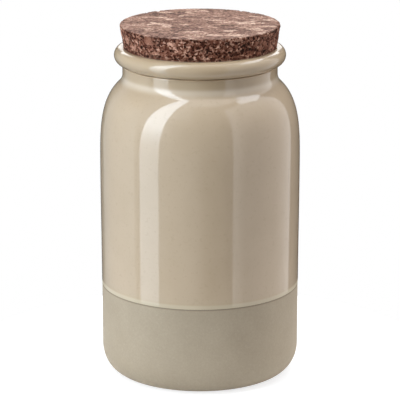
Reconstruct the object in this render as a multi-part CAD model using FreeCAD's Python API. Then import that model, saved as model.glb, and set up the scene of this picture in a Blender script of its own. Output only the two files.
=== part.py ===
"""Stoneware storage jar with a cork lid.

Two turned pieces about the Z axis, in millimetres.  The origin is the centre of the foot
face that the jar stands on, and +Z is up.  The jar is shut, so below the lid's plug its
body is one solid: only the mouth that holds the plug is cut into it.
"""
import math
import os

import FreeCAD
import Part

# Whole jar
jar_height = 182.9          # foot face to the crest of the rim
body_radius = 55.0          # belly, the widest part

# Foot and lower wall
wall_draw_in = 0.3          # the lower wall is this much slimmer than the belly
base_corner_width = 10.4    # oval corner between foot face and wall
base_corner_height = 14.4
foot_ring_width = 8.0       # flat ring that stands on the table
foot_recess_depth = 1.2     # the underside inside that ring is hollowed by this much

# Glaze, which stops in a soft raised lip above the bare clay
glaze_line_height = 49.7
glaze_thickness = 0.15
glaze_lip_height = 2.2

# Shoulder, an oval of higher power that reaches past the axis, cut off by the neck
shoulder_rise = 58.9
shoulder_reach = 61.7
shoulder_power = 3.86
neck_fillet = 7.5

# Neck and the groove under the rim
neck_radius = 42.4
neck_height = 8.5           # from where the shoulder would meet the neck to the neck's top
neck_edge_round = 0.6
neck_wall = 5.2             # from the mouth's bore to the neck's outside
groove_depth = 1.3
groove_height = 0.35        # clear height between the neck's top and the rim

# Rim, a rolled bead
rim_overhang = 4.5          # beyond the neck
rim_outer_width = 5.4       # from the crest's inner edge to the outermost line
rim_crest_flat = 1.2        # flat ring along the crest, on which the lid lies
rim_upper_height = 4.4      # crest above the outermost line
rim_lower_height = 5.0      # outermost line above the underside

# Cork lid: a flared head that lies on the crest, and a plug that fills the mouth
head_height = 12.6
head_overlap = 0.5          # the head's lower edge reaches this far on to the crest
head_flare = 2.2            # the head's top is this much larger in radius
head_top_round = 1.1
head_bottom_round = 0.4
plug_length = 15.0
plug_clearance = 0.25       # all round in the bore
plug_end_gap = 0.3          # below the plug
plug_end_chamfer = 1.5
seat_gap = 0.05             # between the crest and the head

SHOULDER_POINTS = 14
TOUCHING = 1e-6             # points nearer than this are the same


def point(radius, height):
    """A point of a profile, in the XZ plane."""
    return FreeCAD.Vector(radius, 0, height)


UP = FreeCAD.Vector(0, 0, 1)


def run(corners):
    """Straight edges through (radius, height) corners. Corners that fall together give no edge."""
    spots = [point(*corner) for corner in corners]
    return [Part.makeLine(a, b) for a, b in zip(spots, spots[1:]) if not a.isEqual(b, TOUCHING)]


def oval_quarter(centre, width, height, start, end):
    """Quarter of an oval about centre, between two angles that are whole right angles."""
    if width >= height:
        oval = Part.Ellipse(centre + point(width, 0), centre + point(0, height), centre)
    else:
        oval = Part.Ellipse(centre + point(0, height), centre - point(width, 0), centre)
        start -= 90
        end -= 90
    arc = Part.Arc(oval, math.radians(start), math.radians(end))
    return arc.toShape()


def shoulder_height(radius):
    """Height of the shoulder above the belly where it has this radius."""
    share = (radius - (body_radius - shoulder_reach)) / shoulder_reach
    return shoulder_rise * (1 - share ** shoulder_power) ** (1 / shoulder_power)


def shoulder_radius(height):
    """Radius of the shoulder at this height above the belly."""
    share = height / shoulder_rise
    reach = shoulder_reach * (1 - share ** shoulder_power) ** (1 / shoulder_power)
    return body_radius - shoulder_reach + reach


def turned(edges):
    """Solid made by turning a closed profile once round the Z axis."""
    face = Part.Face(Part.Wire(Part.__sortEdges__(edges)))
    return face.revolve(FreeCAD.Vector(0, 0, 0), UP, 360)


def circle_edges(solid, radius, height):
    """Edges of a turned solid that are the full circle of this radius at this height."""
    found = []
    for edge in solid.Edges:
        curve = edge.Curve
        if not isinstance(curve, Part.Circle):
            continue
        if abs(curve.Radius - radius) < 1e-4 and abs(curve.Center.z - height) < 1e-4:
            found.append(edge)
    return found


# Levels and radii that both pieces share
rim_radius = neck_radius + rim_overhang
crest_radius = rim_radius - rim_outer_width
bore_radius = neck_radius - neck_wall
rim_mid_height = jar_height - rim_upper_height
rim_under_height = rim_mid_height - rim_lower_height
seat_height = jar_height + seat_gap
plug_end_height = seat_height - plug_length


def make_jar():
    wall_radius = body_radius - glaze_thickness - wall_draw_in
    foot_radius = wall_radius - base_corner_width
    foot_inner_radius = foot_radius - foot_ring_width
    glazed_wall_radius = wall_radius + glaze_thickness
    lip_top = glaze_line_height + glaze_lip_height
    groove_radius = neck_radius - groove_depth
    neck_top = rim_under_height - groove_height
    neck_foot = neck_top - neck_height
    belly_height = neck_foot - shoulder_height(neck_radius)
    mouth_floor = plug_end_height - plug_end_gap

    underside = run([
        (0, foot_recess_depth),
        (foot_inner_radius - foot_recess_depth, foot_recess_depth),
        (foot_inner_radius, 0),
        (foot_radius, 0),
    ])
    corner_centre = point(foot_radius, base_corner_height)
    base_corner = oval_quarter(corner_centre, base_corner_width, base_corner_height, 270, 360)
    bare_wall = run([(wall_radius, base_corner_height), (wall_radius, glaze_line_height)])
    lip_centre = point(wall_radius, lip_top)
    glaze_lip = oval_quarter(lip_centre, glaze_thickness, glaze_lip_height, 270, 360)

    glazed_wall = Part.BSplineCurve()
    glazed_wall.interpolate(
        Points=[point(glazed_wall_radius, lip_top), point(body_radius, belly_height)],
        InitialTangent=UP,
        FinalTangent=UP,
    )
    rise = neck_foot - belly_height
    steps = [rise * i / (SHOULDER_POINTS - 1) for i in range(SHOULDER_POINTS)]
    shoulder = Part.BSplineCurve()
    shoulder.interpolate([point(shoulder_radius(z), belly_height + z) for z in steps])

    neck_and_groove = run([
        (neck_radius, neck_foot),
        (neck_radius, neck_top),
        (groove_radius, neck_top),
        (groove_radius, rim_under_height),
        (crest_radius, rim_under_height),
    ])
    rim_centre = point(crest_radius, rim_mid_height)
    flat_centre = point(crest_radius + rim_crest_flat, rim_mid_height)
    rim = [
        oval_quarter(rim_centre, rim_outer_width, rim_lower_height, 270, 360),
        oval_quarter(flat_centre, rim_outer_width - rim_crest_flat, rim_upper_height, 0, 90),
        Part.makeLine(point(crest_radius + rim_crest_flat, jar_height), point(crest_radius, jar_height)),
        oval_quarter(rim_centre, crest_radius - bore_radius, rim_upper_height, 90, 180),
    ]
    mouth = run([
        (bore_radius, rim_mid_height),
        (bore_radius, mouth_floor),
        (0, mouth_floor),
        (0, foot_recess_depth),
    ])
    outline = underside + [base_corner] + bare_wall + [glaze_lip]
    outline += [glazed_wall.toShape(), shoulder.toShape()]
    outline += neck_and_groove + rim + mouth

    jar = turned(outline)
    jar = jar.makeFillet(neck_fillet, circle_edges(jar, neck_radius, neck_foot))
    jar = jar.makeFillet(neck_edge_round, circle_edges(jar, neck_radius, neck_top))
    return jar


def make_cork_lid():
    head_radius = crest_radius + head_overlap
    head_top_radius = head_radius + head_flare
    plug_radius = bore_radius - plug_clearance
    top = seat_height + head_height
    lid = turned(run([
        (0, plug_end_height),
        (plug_radius, plug_end_height),
        (plug_radius, seat_height),
        (head_radius, seat_height),
        (head_top_radius, top),
        (0, top),
        (0, plug_end_height),
    ]))
    lid = lid.makeFillet(head_top_round, circle_edges(lid, head_top_radius, top))
    lid = lid.makeFillet(head_bottom_round, circle_edges(lid, head_radius, seat_height))
    return lid.makeChamfer(plug_end_chamfer, circle_edges(lid, plug_radius, plug_end_height))


pieces = {"jar": make_jar(), "cork_lid": make_cork_lid()}

os.makedirs("parts", exist_ok=True)
for name, piece in pieces.items():
    piece.exportStep(f"parts/{name}.step")
    print(name, "valid", piece.isValid(), "solids", len(piece.Solids), "volume", round(piece.Volume))
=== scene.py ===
"""Looks of the stoneware storage jar with a cork lid.

Sizes of the jar and its lid are in millimetres, and MM turns them into metres. The studio,
the camera and the shaders work in metres.
"""

import math

import bpy
import numpy as np
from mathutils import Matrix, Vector


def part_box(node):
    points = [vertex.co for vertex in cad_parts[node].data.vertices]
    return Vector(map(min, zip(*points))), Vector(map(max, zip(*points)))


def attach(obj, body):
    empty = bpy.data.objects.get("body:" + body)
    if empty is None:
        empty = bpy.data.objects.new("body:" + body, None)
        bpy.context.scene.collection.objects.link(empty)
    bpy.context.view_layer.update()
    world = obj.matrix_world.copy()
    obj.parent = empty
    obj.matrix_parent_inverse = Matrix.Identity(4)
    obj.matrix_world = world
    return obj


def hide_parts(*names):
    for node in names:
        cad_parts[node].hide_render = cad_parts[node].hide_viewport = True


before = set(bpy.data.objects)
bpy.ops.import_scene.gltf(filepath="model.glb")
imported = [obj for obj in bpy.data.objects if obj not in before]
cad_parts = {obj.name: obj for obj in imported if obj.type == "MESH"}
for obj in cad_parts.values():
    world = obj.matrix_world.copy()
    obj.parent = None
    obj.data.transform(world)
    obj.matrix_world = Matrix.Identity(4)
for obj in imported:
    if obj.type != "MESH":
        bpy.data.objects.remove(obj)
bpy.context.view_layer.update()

MM = 0.001
_, jar_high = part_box("jar")
lid_low, lid_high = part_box("cork_lid")
JAR_TOP = jar_high.z / MM
BODY_RADIUS = jar_high.x / MM
LID_TOP = lid_high.z / MM
PLUG_END = lid_low.z / MM

# Foot and lower wall
WALL_DRAW_IN = 0.3
CORNER_WIDTH = 10.4
CORNER_HEIGHT = 14.4
FOOT_RING = 8.0
FOOT_RECESS = 1.2

# Glaze
GLAZE_LINE = 49.7
GLAZE_DEPTH = 0.15
GLAZE_LIP = 2.2

# Shoulder, an oval of higher power that reaches past the axis, cut off by the neck
SHOULDER_RISE = 58.9
SHOULDER_REACH = 61.7
SHOULDER_POWER = 3.86
NECK_FILLET = 7.5

# Neck and the groove under the rim
NECK_RADIUS = 42.4
NECK_HEIGHT = 8.5
NECK_EDGE = 0.6
NECK_WALL = 5.2
GROOVE_DEPTH = 1.3
GROOVE_HEIGHT = 0.35

# Rim
RIM_OVERHANG = 4.5
RIM_WIDTH = 5.4
RIM_FLAT = 1.2
RIM_UPPER = 4.4
RIM_LOWER = 5.0

# Lid
SEAT_GAP = 0.05
HEAD_OVERLAP = 0.5
HEAD_FLARE = 2.2
HEAD_TOP_ROUND = 1.1
HEAD_FOOT_ROUND = 0.4
HEAD_FOOT_FLARE = 0.05          # how far the side has flared where the lower round ends
PLUG_CLEARANCE = 0.25
PLUG_END_GAP = 0.3
PLUG_CHAMFER = 1.5

# Levels and radii that follow
WALL_RADIUS = BODY_RADIUS - GLAZE_DEPTH - WALL_DRAW_IN
FOOT_RADIUS = WALL_RADIUS - CORNER_WIDTH
FOOT_INNER_RADIUS = FOOT_RADIUS - FOOT_RING
LIP_TOP = GLAZE_LINE + GLAZE_LIP
RIM_MID = JAR_TOP - RIM_UPPER
RIM_UNDER = RIM_MID - RIM_LOWER
NECK_TOP = RIM_UNDER - GROOVE_HEIGHT
NECK_FOOT = NECK_TOP - NECK_HEIGHT
GROOVE_RADIUS = NECK_RADIUS - GROOVE_DEPTH
CREST_RADIUS = NECK_RADIUS + RIM_OVERHANG - RIM_WIDTH
BORE_RADIUS = NECK_RADIUS - NECK_WALL
MOUTH_FLOOR = PLUG_END - PLUG_END_GAP
SEAT = JAR_TOP + SEAT_GAP
HEAD_RADIUS = CREST_RADIUS + HEAD_OVERLAP
HEAD_TOP_RADIUS = HEAD_RADIUS + HEAD_FLARE
PLUG_RADIUS = BORE_RADIUS - PLUG_CLEARANCE

# Meshes
JAR_SEGMENTS = 256
LID_SEGMENTS = 640
JAR_SHARP = 35                  # edges of the jar sharper than this, in degrees, stay crisp
ALL_SMOOTH = 180


# ---------------------------------------------------------------- outlines


def oval(centre, width, height, start, end, steps):
    """Points of an oval arc between two angles in degrees."""
    points = []
    for angle in np.radians(np.linspace(start, end, steps + 1)):
        points.append((centre[0] + width * math.cos(angle), centre[1] + height * math.sin(angle)))
    return points


def line(start, end, steps):
    """Points along a straight run."""
    shares = np.linspace(0, 1, steps + 1)
    return [(start[0] + s * (end[0] - start[0]), start[1] + s * (end[1] - start[1])) for s in shares]


def joined(*runs):
    """One list of points, without the doubles where runs meet."""
    same = 1e-4
    points = []
    for run in runs:
        for spot in run:
            if not points or math.dist(points[-1], spot) > same:
                points.append(spot)
    return points


def shoulder_radius(rise):
    """Radius of the shoulder at this height above the belly."""
    share = max(rise, 0) / SHOULDER_RISE
    reach = SHOULDER_REACH * (1 - share ** SHOULDER_POWER) ** (1 / SHOULDER_POWER)
    return BODY_RADIUS - SHOULDER_REACH + reach


def shoulder_and_fillet():
    """The belly's height, the shoulder from there up, and the arc that turns it into the neck."""
    share = (NECK_RADIUS - (BODY_RADIUS - SHOULDER_REACH)) / SHOULDER_REACH
    belly = NECK_FOOT - SHOULDER_RISE * (1 - share ** SHOULDER_POWER) ** (1 / SHOULDER_POWER)

    def fillet_at(rise):
        """Centre of a fillet that touches the shoulder at this height, and the way out there."""
        reach = 1e-3
        slope = (shoulder_radius(rise + reach) - shoulder_radius(rise - reach)) / (2 * reach)
        normal = np.array([1, -slope]) / math.hypot(1, slope)
        return np.array([shoulder_radius(rise), belly + rise]) + NECK_FILLET * normal, normal

    low, high = 0.0, NECK_FOOT - belly
    for _ in range(50):
        middle = (low + high) / 2
        if fillet_at(middle)[0][0] > NECK_RADIUS + NECK_FILLET:
            low = middle
        else:
            high = middle
    centre, normal = fillet_at(low)
    crowding = 1.7              # points stand closer towards the fillet, where the shoulder turns
    rises = low * (1 - (1 - np.linspace(0, 1, 56)) ** crowding)
    shoulder = [(shoulder_radius(rise), belly + rise) for rise in rises]
    start = math.degrees(math.atan2(-normal[1], -normal[0]))
    if start > 0:
        start -= 360
    return belly, shoulder + oval(centre, NECK_FILLET, NECK_FILLET, start, -180, 12)


def glazed_wall(belly):
    """The wall from the lip's top up to the belly, which eases out to its full width."""
    start = WALL_RADIUS + GLAZE_DEPTH
    shares = np.linspace(0, 1, 25)
    eased = shares * shares * (3 - 2 * shares)
    radii = start + (BODY_RADIUS - start) * eased
    heights = LIP_TOP + (belly - LIP_TOP) * shares
    return list(zip(radii, heights))


def jar_profile():
    """Closed outline from the axis under the foot round to the axis in the mouth, and the
    number of the point where the glaze starts."""
    underside = joined(
        line((0, FOOT_RECESS), (FOOT_INNER_RADIUS - FOOT_RECESS, FOOT_RECESS), 10),
        line((FOOT_INNER_RADIUS - FOOT_RECESS, FOOT_RECESS), (FOOT_INNER_RADIUS, 0), 3),
        line((FOOT_INNER_RADIUS, 0), (FOOT_RADIUS, 0), 6),
    )
    corner = oval((FOOT_RADIUS, CORNER_HEIGHT), CORNER_WIDTH, CORNER_HEIGHT, -90, 0, 22)
    bare_wall = line((WALL_RADIUS, CORNER_HEIGHT), (WALL_RADIUS, GLAZE_LINE), 12)
    lip = oval((WALL_RADIUS, LIP_TOP), GLAZE_DEPTH, GLAZE_LIP, -90, 0, 12)
    belly, shoulder = shoulder_and_fillet()
    neck = joined(
        line((NECK_RADIUS, shoulder[-1][1]), (NECK_RADIUS, NECK_TOP - NECK_EDGE), 4),
        oval((NECK_RADIUS - NECK_EDGE, NECK_TOP - NECK_EDGE), NECK_EDGE, NECK_EDGE, 0, 90, 5),
        line((NECK_RADIUS - NECK_EDGE, NECK_TOP), (GROOVE_RADIUS, NECK_TOP), 2),
        line((GROOVE_RADIUS, NECK_TOP), (GROOVE_RADIUS, RIM_UNDER), 2),
        line((GROOVE_RADIUS, RIM_UNDER), (CREST_RADIUS, RIM_UNDER), 1),
    )
    rim = joined(
        oval((CREST_RADIUS, RIM_MID), RIM_WIDTH, RIM_LOWER, -90, 0, 16),
        oval((CREST_RADIUS + RIM_FLAT, RIM_MID), RIM_WIDTH - RIM_FLAT, RIM_UPPER, 0, 90, 24),
        oval((CREST_RADIUS, RIM_MID), CREST_RADIUS - BORE_RADIUS, RIM_UPPER, 90, 180, 12),
    )
    mouth = joined(
        line((BORE_RADIUS, RIM_MID), (BORE_RADIUS, MOUTH_FLOOR), 3),
        line((BORE_RADIUS, MOUTH_FLOOR), (0, MOUTH_FLOOR), 4),
    )
    bare = joined(underside, corner, bare_wall)
    return joined(bare, lip, glazed_wall(belly), shoulder, neck, rim, mouth), len(bare) - 1


def lid_profile():
    """Outline from the axis under the plug round to the axis on top."""
    flare = HEAD_FLARE / (LID_TOP - SEAT)
    side_top = LID_TOP - HEAD_TOP_ROUND
    side_radius = HEAD_TOP_RADIUS - flare * HEAD_TOP_ROUND
    side_foot = SEAT + HEAD_FOOT_ROUND
    foot_radius = HEAD_RADIUS + HEAD_FOOT_FLARE
    top = line((0, LID_TOP), (side_radius - HEAD_TOP_ROUND, LID_TOP), 84)
    edge = oval((side_radius - HEAD_TOP_ROUND, side_top), HEAD_TOP_ROUND, HEAD_TOP_ROUND, 90, 0, 5)
    side = line((side_radius, side_top), (foot_radius, side_foot), 28)
    inner_radius = foot_radius - HEAD_FOOT_ROUND
    plug_corner = PLUG_END + PLUG_CHAMFER
    lower = joined(
        oval((inner_radius, side_foot), HEAD_FOOT_ROUND, HEAD_FOOT_ROUND, 0, -90, 3),
        line((inner_radius, SEAT), (PLUG_RADIUS, SEAT), 2),
        line((PLUG_RADIUS, SEAT), (PLUG_RADIUS, plug_corner), 3),
        line((PLUG_RADIUS, plug_corner), (PLUG_RADIUS - PLUG_CHAMFER, PLUG_END), 1),
        line((PLUG_RADIUS - PLUG_CHAMFER, PLUG_END), (0, PLUG_END), 3),
    )
    return joined(top, edge, side, lower)[::-1]


# ---------------------------------------------------------------- turned meshes


def turned_grid(profile, segments):
    """Rows of points round the axis, for a profile that starts and ends on it. The two ends
    are left out."""
    rows = np.array(profile[1:-1])
    angles = np.linspace(0, 2 * math.pi, segments, endpoint=False)
    x = np.outer(rows[:, 0], np.cos(angles))
    y = np.outer(rows[:, 0], np.sin(angles))
    z = np.repeat(rows[:, 1:2], segments, axis=1)
    return np.stack([x, y, z], axis=2)


def mesh_from_grid(name, grid, first, last, sharp_from):
    """Object from a grid of rows round the axis, closed by a fan to the axis at each end. first
    and last are the heights of the two fans' centres."""
    rows, segments = grid.shape[:2]
    centres = [(0, 0, first), (0, 0, last)]
    vertices = np.concatenate([grid.reshape(-1, 3), centres]) * MM
    index = np.arange(rows * segments).reshape(rows, segments)
    after = np.roll(index, -1, axis=1)
    faces = np.stack([index[:-1], after[:-1], after[1:], index[1:]], axis=2).reshape(-1, 4).tolist()
    start, end = rows * segments, rows * segments + 1
    faces += [(start, b, a) for a, b in zip(index[0], after[0])]
    faces += [(end, a, b) for a, b in zip(index[-1], after[-1])]
    mesh = bpy.data.meshes.new(name)
    mesh.from_pydata(vertices.tolist(), [], faces)
    mesh.update()
    mesh.shade_smooth()
    mesh.set_sharp_from_angle(angle=math.radians(sharp_from))
    piece = bpy.data.objects.new(name, mesh)
    bpy.context.scene.collection.objects.link(piece)
    return piece


# ---------------------------------------------------------------- shader helpers


class Nodes:
    """The node tree of a material or a world, built in a few words."""

    def __init__(self, owner, output="OutputMaterial"):
        owner.use_nodes = True
        self.owner = owner
        self.tree = owner.node_tree
        self.tree.nodes.clear()
        self.out = self.node(output)

    def feed(self, socket, value):
        """Link a socket to another one, or set its number or colour."""
        if isinstance(value, bpy.types.NodeSocket):
            self.tree.links.new(value, socket)
        elif isinstance(value, tuple) and len(value) == 3:
            socket.default_value = (*value, 1)
        else:
            socket.default_value = value

    def node(self, kind, inputs=None, **settings):
        """New node of a kind, with its inputs fed and its settings set."""
        made = self.tree.nodes.new("ShaderNode" + kind)
        for key, value in settings.items():
            setattr(made, key, value)
        for key, value in (inputs or {}).items():
            self.feed(made.inputs[key], value)
        return made

    def place(self):
        """The point in the object's own space, in metres, and its height."""
        spot = self.node("TexCoord").outputs["Object"]
        return spot, self.node("SeparateXYZ", {0: spot}).outputs["Z"]

    def attribute(self, name):
        """A value that the mesh carries at its points."""
        return self.node("Attribute", attribute_name=name).outputs["Fac"]

    def math(self, operation, a, b=0.0, c=0.0):
        return self.node("Math", {0: a, 1: b, 2: c}, operation=operation).outputs[0]

    def step(self, value, start, end):
        """0 before start and 1 past end, with a soft step between."""
        made = self.node("MapRange", {0: value, 1: start, 2: end}, interpolation_type="SMOOTHSTEP")
        return made.outputs[0]

    def ramp(self, value, *stops):
        """Colours or grey levels at places along a value."""
        made = self.node("ValToRGB", {0: value})
        elements = made.color_ramp.elements
        while len(elements) > 1:
            elements.remove(elements[-1])
        for number, (place, colour) in enumerate(stops):
            element = elements[0] if number == 0 else elements.new(place)
            element.position = place
            element.color = (*colour, 1) if isinstance(colour, tuple) else (colour, colour, colour, 1)
        return made.outputs[0]

    def mix(self, share, a, b):
        """Colour a where share is 0, and colour b where it is 1."""
        made = self.node("Mix", data_type="RGBA")
        share_socket, a_socket, b_socket = 0, 6, 7
        self.feed(made.inputs[share_socket], share)
        self.feed(made.inputs[a_socket], a)
        self.feed(made.inputs[b_socket], b)
        return made.outputs[2]

    def noise(self, place, scale, detail=2.0, roughness=0.5):
        inputs = {"Vector": place, "Scale": scale, "Detail": detail, "Roughness": roughness}
        return self.node("TexNoise", inputs).outputs[0]

    def clouded(self, place, scale, roughness, a, b):
        """Soft clouds of two near colours."""
        clouds = self.noise(place, scale, 3, roughness)
        return self.mix(self.ramp(clouds, (0.3, 0.0), (0.7, 1.0)), a, b)

    def bump(self, height, strength, depth):
        return self.node("Bump", {"Strength": strength, "Distance": depth, "Height": height}).outputs[0]

    def seen(self):
        """1 for rays from the camera and for those that a surface mirrors or lets through."""
        path = self.node("LightPath").outputs
        straight = self.math("MAXIMUM", path["Is Camera Ray"], path["Is Glossy Ray"])
        return self.math("MAXIMUM", straight, path["Is Transmission Ray"])

    def finish(self, kind, inputs):
        """End with this shader, and give back the material or world."""
        self.tree.links.new(self.node(kind, inputs).outputs[0], self.out.inputs["Surface"])
        return self.owner


def new_material(name):
    """Empty node tree of a new material."""
    return Nodes(bpy.data.materials.new(name))


# ---------------------------------------------------------------- materials


def glaze_material():
    """Warm beige gloss glaze: paler at the lip and on the neck's fillet, partly pooled glaze and partly
    a painted highlight, with painted light in the groove under the rim, and browner on the neck and the
    rim.
    """
    n = new_material("beige_glaze")
    place, height = n.place()
    base = n.clouded(place, 60, 0.55, (0.520, 0.393, 0.262), (0.545, 0.414, 0.280))
    flecks = n.noise(place, 520, 2, 0.6)
    base = n.mix(n.ramp(flecks, (0.30, 0.25), (0.42, 0.0)), base, (0.43, 0.315, 0.20))

    # Paler glaze at the lip: partly glaze pooled on the bead, partly a painted highlight there. The same
    # mask thins the coat on the bead.
    pooled_and_painted_highlight = n.step(height, (GLAZE_LINE + 2.9) * MM, (GLAZE_LINE + 1.6) * MM)
    base = n.mix(pooled_and_painted_highlight, base, (0.57, 0.475, 0.33))
    # A paler band on the neck's fillet: partly pooled glaze, partly a painted highlight.
    fillet_middle = NECK_FOOT + 2.0
    below = n.step(height, (NECK_FOOT - 1.5) * MM, fillet_middle * MM)
    above = n.step(height, (NECK_FOOT + 4.5) * MM, fillet_middle * MM)
    fillet_pool_and_highlight = n.math("MULTIPLY", n.math("MULTIPLY", below, above), 0.8)
    base = n.mix(fillet_pool_and_highlight, base, (0.68, 0.56, 0.42))
    throat = n.step(height, (NECK_FOOT + 1.0) * MM, (NECK_TOP - 3.0) * MM)
    base = n.mix(throat, base, (0.500, 0.370, 0.232))
    # Painted light in the groove under the rim, where it lies in shade.
    groove_painted_light = n.math("COMPARE", height, (NECK_TOP + 0.4) * MM, 1.0 * MM)
    base = n.mix(n.math("MULTIPLY", groove_painted_light, 0.5), base, (0.72, 0.55, 0.36))

    bump = n.bump(n.noise(place, 38, 1.5, 0.4), 0.12, 0.0006)
    gloss = n.math("MULTIPLY_ADD", pooled_and_painted_highlight, -0.75, 1.0)
    return n.finish("BsdfPrincipled", {
        "Base Color": base, "Roughness": 0.5, "IOR": 1.5, "Specular IOR Level": 0.35, "Normal": bump,
        "Coat Weight": gloss, "Coat Roughness": 0.03, "Coat IOR": 1.5, "Coat Normal": bump,
    })


def bare_material():
    """Unglazed stoneware: matt, with a fine sandy grain and a dark line under the glaze's edge, partly a
    stain and partly painted shade.
    """
    n = new_material("bare_stoneware")
    place, height = n.place()
    grain = n.noise(place, 900, 3, 0.7)
    base = n.clouded(place, 45, 0.6, (0.400, 0.320, 0.222), (0.432, 0.348, 0.244))
    base = n.mix(n.ramp(grain, (0.35, 0.25), (0.55, 0.0)), base, (0.33, 0.262, 0.188))
    base = n.mix(n.ramp(grain, (0.58, 0.0), (0.72, 0.22)), base, (0.53, 0.445, 0.335))
    # A dark line just under the glaze's edge: partly a stain, partly painted shade under the lip.
    stain_and_painted_shade = n.step(height, (GLAZE_LINE - 1.2) * MM, (GLAZE_LINE + 0.1) * MM)
    base = n.mix(n.math("MULTIPLY", stain_and_painted_shade, 0.85), base, (0.17, 0.125, 0.075))
    bump = n.bump(grain, 0.5, 0.00012)
    return n.finish("BsdfPrincipled", {
        "Base Color": base, "Roughness": 0.7, "Specular IOR Level": 0.45, "Normal": bump,
    })


def cork_material():
    """Pressed cork: a dark speckled crumb with paler shards, and a paler top, partly sanded and partly
    painted light and sheen. Its tone, dark, sanded_top_and_painted_light and shard values come with the
    mesh, from cork_grain; dark also holds painted shade round the head's foot."""
    n = new_material("pressed_cork")
    place, _ = n.place()
    tone = n.attribute("tone")
    shard = n.attribute("shard")
    crumb = n.node("TexVoronoi", {"Vector": place, "Scale": 1020.0})
    speck = n.node("SeparateColor", {0: crumb.outputs["Color"]}).outputs[0]
    fine = n.noise(place, 1500, 3, 0.7)

    loose = n.math("ADD", n.math("MULTIPLY", speck, 0.95), n.math("MULTIPLY_ADD", tone, 0.45, -0.16))
    solid = n.math("ADD", n.math("MULTIPLY", fine, 0.7), n.math("MULTIPLY_ADD", tone, 0.6, -0.02))
    loose = n.math("MULTIPLY", loose, n.math("SUBTRACT", 1.0, shard))
    solid = n.math("MULTIPLY", solid, shard)
    side = n.ramp(
        n.math("ADD", loose, solid),
        (0.0, (0.018, 0.005, 0.002)), (0.25, (0.076, 0.021, 0.010)), (0.5, (0.167, 0.058, 0.034)),
        (0.75, (0.312, 0.137, 0.087)), (1.0, (0.660, 0.382, 0.268)),
    )
    # The top's colours: sanded cork, with painted light from above and a painted sheen.
    top = n.ramp(
        n.math("ADD", n.math("MULTIPLY", speck, 0.6), n.math("MULTIPLY_ADD", tone, 0.75, -0.18)),
        (0.0, (0.070, 0.028, 0.017)), (0.3, (0.192, 0.092, 0.061)), (0.5, (0.272, 0.144, 0.100)),
        (0.75, (0.385, 0.224, 0.161)), (1.0, (0.640, 0.456, 0.344)),
    )
    base = n.mix(n.attribute("sanded_top_and_painted_light"), side, top)
    # The dark values darken the joints, pits and chips, and paint shade round the head's foot.
    base = n.mix(n.attribute("dark"), base, (0.020, 0.007, 0.003))
    bump = n.bump(n.math("ADD", fine, crumb.outputs["Distance"]), 0.6, 0.0002)
    return n.finish("BsdfPrincipled", {
        "Base Color": base, "Roughness": 0.7, "Specular IOR Level": 0.12, "Normal": bump,
    })


# ---------------------------------------------------------------- cork grain


def smooth(value, low, high):
    """0 below low, 1 above high, with a soft step between."""
    share = np.clip((value - low) / (high - low), 0, 1)
    return share * share * (3 - 2 * share)


def lattice_noise(points, cell, seed):
    """Smooth noise from 0 to 1 with features about a cell wide."""
    rng = np.random.default_rng(seed)
    places = points / cell
    base = np.floor(places).astype(int)
    part = places - base
    part = part * part * (3 - 2 * part)
    base -= base.min(axis=0)
    values = rng.random(tuple(base.max(axis=0) + 2))
    total = np.zeros(len(points))
    for corner in np.ndindex(2, 2, 2):
        share = np.prod(np.where(corner, part, 1 - part), axis=1)
        total += share * values[tuple((base + corner).T)]
    return total


def warped(points, cell, reach, seed):
    """Points moved about at random, so that grains don't look like cells of a grid."""
    moves = [lattice_noise(points, cell, seed + axis) - 0.5 for axis in range(3)]
    return points + reach * np.stack(moves, axis=1)


def grains(points, cell, seed):
    """For each point, how far it is from its grain's joint, and three random numbers of its
    grain. A fourth sets how big the grain grows."""
    rng = np.random.default_rng(seed)
    places = points / cell
    base = np.floor(places).astype(int)
    low = base.min(axis=0) - 1
    size = tuple(base.max(axis=0) - low + 2)
    centres = rng.random((*size, 3))
    looks = rng.random((*size, 4))
    near = np.full(len(points), 9.0)
    second = near.copy()
    own = np.zeros((len(points), 4))
    for step in np.ndindex(3, 3, 3):
        cells = base - low + np.array(step) - 1
        spot = tuple(cells.T)
        distance = np.linalg.norm(places - (cells + low + centres[spot]), axis=1)
        distance *= 0.8 + 0.5 * looks[spot][:, 3]
        closer = distance < near
        second = np.where(closer, near, np.minimum(second, distance))
        near = np.where(closer, distance, near)
        own[closer] = looks[spot][closer]
    return second - near, own[:, 0], own[:, 1], own[:, 2]


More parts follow.
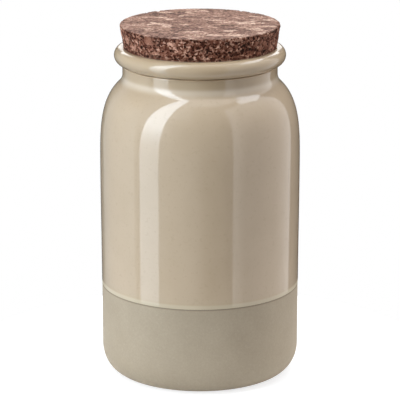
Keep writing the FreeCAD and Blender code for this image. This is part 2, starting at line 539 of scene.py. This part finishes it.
def cork_grain(points, normal):
    """How deep the cork is worn at each point, and the values that its material reads. Coarse
    grains are the shards of pressed cork, and small ones the crumb between them."""
    height = points[:, 2]
    radius = np.linalg.norm(points[:, :2], axis=1)
    head = smooth(height, SEAT, SEAT + 0.6)
    # The face turned up. It is sanded, and its material paints it paler with light from above and a
    # sheen.
    sanded_top_and_painted_light = smooth(normal[:, 2], 0.55, 0.9) * head
    side = 1 - sanded_top_and_painted_light

    lengthened = points * np.array((0.55, 1.0, 1.25))
    coarse, coarse_tone, coarse_lift, _ = grains(warped(lengthened, 4.0, 2.0, 11), 4.6, 13)
    small, small_tone, small_lift, pit = grains(warped(points, 2.0, 1.0, 21), 1.7, 5)
    rough = lattice_noise(points, 0.9, 31)
    broad = lattice_noise(points, 9.0, 41)
    crumbly = smooth(lattice_noise(points, 7.0, 51), 0.42, 0.7)

    # Where shards lie whole, and where the crumb is open, with its joints and pits.
    zone = smooth(lattice_noise(points, 24.0, 263), 0.38, 0.44)
    joint = 1 - smooth(coarse, 0.0, 0.14)
    shard = smooth(coarse_tone, 0.56, 0.58) * zone * (1 - joint)
    shard_joint = joint * zone * (0.25 + 0.75 * smooth(coarse_tone, 0.50, 0.58))
    loose = 1 - shard
    small_joint = (1 - smooth(small, 0.0, 0.25)) * loose
    small_pit = smooth(0.14 - pit, 0.0, 0.03) * smooth(small, 0.02, 0.3) * loose
    edge = smooth(radius, HEAD_TOP_RADIUS - 2.6, HEAD_TOP_RADIUS - 0.9)
    edge *= smooth(height, LID_TOP - 2.4, LID_TOP - 1.0)
    chip = edge * smooth(small_lift, 0.55, 0.75) * crumbly

    # Wear in millimetres: little on the sanded top, more on the side.
    depth = 0.05 + side * (0.16 * coarse_lift + loose * (0.26 * small_lift + 0.22 * rough))
    depth += sanded_top_and_painted_light * 0.05 * (coarse_lift + small_lift + rough)
    depth += shard_joint * (0.08 + 0.3 * side)
    depth += small_joint * (0.04 + 0.2 * side)
    depth += small_pit * (0.15 + 0.45 * side)
    depth += chip * 0.7
    depth *= head

    streak = smooth(coarse_tone, 0.84, 0.90) * (1 - joint)
    tone = 0.48 * coarse_tone + 0.30 * small_tone + 0.22 * broad
    tone = np.clip((tone - 0.5) * 1.5 + 0.42 + 0.30 * streak * sanded_top_and_painted_light, 0, 1)
    # Painted shade round the foot of the head, where it sits on the rim; it goes into the dark values.
    foot_shade = head * side * (1 - smooth(height, SEAT + 0.3, SEAT + 1.5))
    dark = np.maximum(shard_joint * (0.1 + 0.6 * side), small_pit * (0.35 + 0.45 * side))
    dark = np.maximum(dark, chip * 0.8)
    dark = np.maximum(dark, foot_shade * 0.75)
    dark = np.clip(dark, 0, 0.95)
    return depth, {"tone": tone, "dark": dark, "sanded_top_and_painted_light": sanded_top_and_painted_light, "shard": shard}


# ---------------------------------------------------------------- pieces


def make_jar():
    """The stoneware body: bare round the foot, and glazed from the lip's edge up."""
    profile, glaze_start = jar_profile()
    grid = turned_grid(profile, JAR_SEGMENTS)
    piece = mesh_from_grid("jar_body", grid, profile[0][1], profile[-1][1], JAR_SHARP)
    bare, glazed = 0, 1
    piece.data.materials.append(bare_material())
    piece.data.materials.append(glaze_material())
    lower_points = np.arange(1, len(grid))
    slots = np.full(len(piece.data.polygons), bare)
    slots[: len(lower_points) * JAR_SEGMENTS] = np.repeat(lower_points >= glaze_start, JAR_SEGMENTS)
    slots[-JAR_SEGMENTS:] = glazed
    piece.data.polygons.foreach_set("material_index", slots.tolist())
    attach(piece, "root")
    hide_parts("jar")


def make_lid():
    """The cork lid, as turned and then worn by its grain."""
    profile = lid_profile()
    grid = turned_grid(profile, LID_SEGMENTS)
    points = grid.reshape(-1, 3)

    # The way out of the smooth lid's surface at each point, square to the profile there.
    along = np.gradient(np.array(profile), axis=0)[1:-1]
    along /= np.linalg.norm(along, axis=1)[:, None]
    out_r = np.repeat(along[:, 1], LID_SEGMENTS)
    out_z = np.repeat(-along[:, 0], LID_SEGMENTS)
    radial = points[:, :2] / np.linalg.norm(points[:, :2], axis=1)[:, None]
    normal = np.stack([radial[:, 0] * out_r, radial[:, 1] * out_r, out_z], axis=1)

    depth, looks = cork_grain(points, normal)
    worn = points - normal * depth[:, None]
    piece = mesh_from_grid("cork_stopper", worn.reshape(grid.shape), PLUG_END, worn[-1, 2], ALL_SMOOTH)
    for name, values in looks.items():
        attribute = piece.data.attributes.new(name, "FLOAT", "POINT")
        fan_centres = [values[0], values[-1]]
        attribute.data.foreach_set("value", np.append(values, fan_centres).astype(np.float32))
    piece.data.materials.append(cork_material())
    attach(piece, "root")
    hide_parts("cork_lid")


# ---------------------------------------------------------------- studio

# Metres, and degrees from the camera's side round to the right
DOME_CENTRE = Vector((0, 0, 0.14))
LAMP_REACH = 0.95
LEAN_START = -10
LEAN_SPAN = 80
TABLE_RADIUS = 0.14
TABLE_DROP = 0.0002             # keeps the table top clear of the foot
TABLE_SIDES = 96

# Flat lamp on the right
RIGHT_FACING = 68
RIGHT_DISTANCE = 0.6
RIGHT_START = -0.365
RIGHT_WIDTH = 1.652
RIGHT_FOOT = -0.5
RIGHT_HEIGHT = 1.4

CAMERA_ELEVATION = 15.089
CAMERA_DISTANCE = 1.3197
CAMERA_AIM = Vector((0, 0, 0.10513))
CAMERA_DIP = 0.3854             # the view's centre lies this much below the aim
CAMERA_SENSOR = 36              # this and the lens are in millimetres
CAMERA_LENS = 214.67
CAMERA_RANGE = 50


def stage_mesh(name, vertices, faces, material):
    """Object that isn't part of the jar."""
    mesh = bpy.data.meshes.new(name)
    mesh.from_pydata(vertices, [], faces)
    mesh.materials.append(material)
    made = bpy.data.objects.new(name, mesh)
    bpy.context.scene.collection.objects.link(made)
    return made


def patch(name, columns, rows, place, material):
    """Sheet that the camera doesn't see. place gives the point for a share across and a share up."""
    vertices = [place(i / columns, j / rows) for i in range(columns + 1) for j in range(rows + 1)]
    faces = []
    for i in range(columns):
        for j in range(rows):
            a = i * (rows + 1) + j
            faces.append((a, a + rows + 1, a + rows + 2, a + 1))
    made = stage_mesh(name, vertices, faces, material)
    made.visible_camera = False
    return made


def direction(azimuth, elevation):
    """The way out from the jar, for angles in degrees."""
    turn, rise = math.radians(azimuth), math.radians(elevation)
    return Vector((math.sin(turn) * math.cos(rise), -math.cos(turn) * math.cos(rise), math.sin(rise)))


def dome(name, azimuths, heights, radius, material, lean=0):
    """Part of a dome round the jar, between two azimuths and two elevations. lean turns its
    upper part to the right, by this many degrees where it stands LEAN_SPAN above LEAN_START."""

    def place(across, up):
        elevation = heights[0] + up * (heights[1] - heights[0])
        turn = lean * max(0, (elevation - LEAN_START) / LEAN_SPAN)
        azimuth = azimuths[0] + across * (azimuths[1] - azimuths[0]) + turn
        return radius * direction(azimuth, elevation) + DOME_CENTRE

    return patch(name, 32, 24, place, material)


def glow(name, strength, colour=(1.0, 1.0, 1.0), **levels):
    """Even soft light. levels give shares of the strength at places along an axis."""
    n = new_material(name)
    place = n.node("SeparateXYZ", {0: n.node("TexCoord").outputs["Object"]})
    level = strength
    for axis, stops in levels.items():
        start, end = stops[0][0], stops[-1][0]
        share = n.node("MapRange", {0: place.outputs[axis], 1: start, 2: end}).outputs[0]
        ramp = n.ramp(share, *[((spot - start) / (end - start), value) for spot, value in stops])
        level = n.math("MULTIPLY", ramp, level)
    return n.finish("Emission", {"Color": colour, "Strength": level})


def lamp(name, azimuths, heights, strength, colour=(1.0, 1.0, 1.0), radius=LAMP_REACH, lean=0, **levels):
    """Part of a dome that glows."""
    material = glow("light_" + name, strength, colour, **levels)
    dome("lamp_" + name, azimuths, heights, radius, material, lean)


def make_right_lamp():
    """A flat sheet of light that faces the jar from the right, brightest at its near edge."""
    middle = RIGHT_DISTANCE * direction(RIGHT_FACING, 0)
    along = direction(RIGHT_FACING + 90, 0)

    def place(across, up):
        rise = Vector((0, 0, RIGHT_FOOT + up * RIGHT_HEIGHT))
        return middle + along * (RIGHT_START + across * RIGHT_WIDTH) + rise

    material = glow(
        "light_right", 2.02, (0.975, 0.985, 1.015),
        Y=((-0.565, 1.0), (-0.505, 0.85), (-0.39, 0.52), (0.10, 0.52), (0.40, 0.8), (0.97, 0.85)),
        Z=((0.40, 0.8), (0.70, 1.0)),
    )
    patch("lamp_right", 24, 24, place, material)


def make_cloth():
    """A cloth all round that only mirrors in the glaze: dark, with a dim pale stretch low in front."""
    material = glow(
        "cloth", 0.5,
        X=((-0.85, 0.3), (-0.6, 0.5), (-0.35, 1.0), (-0.07, 1.0), (0.1, 0.02)),
        Y=((-0.7, 1.0), (-0.4, 0.08)),
        Z=((-0.05, 1.0), (0.1, 0.02)),
    )
    cloth = dome("dark_cloth", (-180, 180), (-45, 60), 1.15, material)
    cloth.visible_diffuse = False
    cloth.visible_shadow = False


def make_floor():
    """A round table top, white to the camera and in the glaze, that keeps the object's shadow."""
    n = new_material("pale_floor")
    camera_ray = n.node("LightPath").outputs["Is Camera Ray"]
    colour = n.mix(camera_ray, (0.8, 0.8, 0.8), (0.4, 0.4, 0.4))
    diffuse = n.node("BsdfDiffuse", {"Color": colour}).outputs[0]
    shine = n.math("MULTIPLY", n.seen(), 0.75)
    light = n.node("Emission", {"Color": (1.0, 1.0, 1.0), "Strength": shine}).outputs[0]
    material = n.finish("AddShader", {0: diffuse, 1: light})
    angles = np.linspace(2 * math.pi, 0, TABLE_SIDES, endpoint=False)
    edge = [(TABLE_RADIUS * math.sin(a), TABLE_RADIUS * math.cos(a), -TABLE_DROP) for a in angles]
    stage_mesh("floor", edge, [tuple(range(TABLE_SIDES))], material)


def make_world():
    """White behind the object, without lighting it."""
    n = Nodes(bpy.data.worlds.new("white_room"), "OutputWorld")
    bpy.context.scene.world = n.finish("Background", {"Color": (1.0, 1.0, 1.0), "Strength": n.seen()})


def make_studio():
    lamp(
        "strip", (-71, -47), (-40, 74), 7.8, (0.92, 1.02, 1.12), 0.9, lean=13,
        Z=((0.05, 0.38), (0.36, 1.0)),
    )
    lamp("left", (-144, -79), (-40, 28), 0.9, (0.95, 1.02, 1.11), Y=((-0.2, 1.0), (0.5, 0.45)))
    lamp("front", (-46, -10), (30, 60), 0.7)
    lamp("over", (-60, 180), (60, 84), 1.6, radius=1.05)
    lamp("high", (74, 150), (43, 59), 4.6, (0.93, 1.0, 1.09))
    lamp("back", (148, 212), (22, 58), 3.2)
    lamp("low", (165, 195), (7, 22), 1.6)
    make_right_lamp()
    make_cloth()
    make_floor()
    make_world()


def make_camera():
    """A long lens in front of the jar and above it, as in the photo."""
    data = bpy.data.cameras.new("camera")
    data.sensor_width = CAMERA_SENSOR
    data.lens = CAMERA_LENS
    data.clip_end = CAMERA_RANGE
    camera = bpy.data.objects.new("camera", data)
    bpy.context.scene.collection.objects.link(camera)
    camera.location = CAMERA_AIM + CAMERA_DISTANCE * direction(0, CAMERA_ELEVATION)
    camera.rotation_euler = (math.radians(90 - CAMERA_ELEVATION - CAMERA_DIP), 0, 0)
    bpy.context.scene.camera = camera


make_jar()
make_lid()
make_studio()
make_camera()
bpy.context.scene.view_settings.view_transform = "Standard"
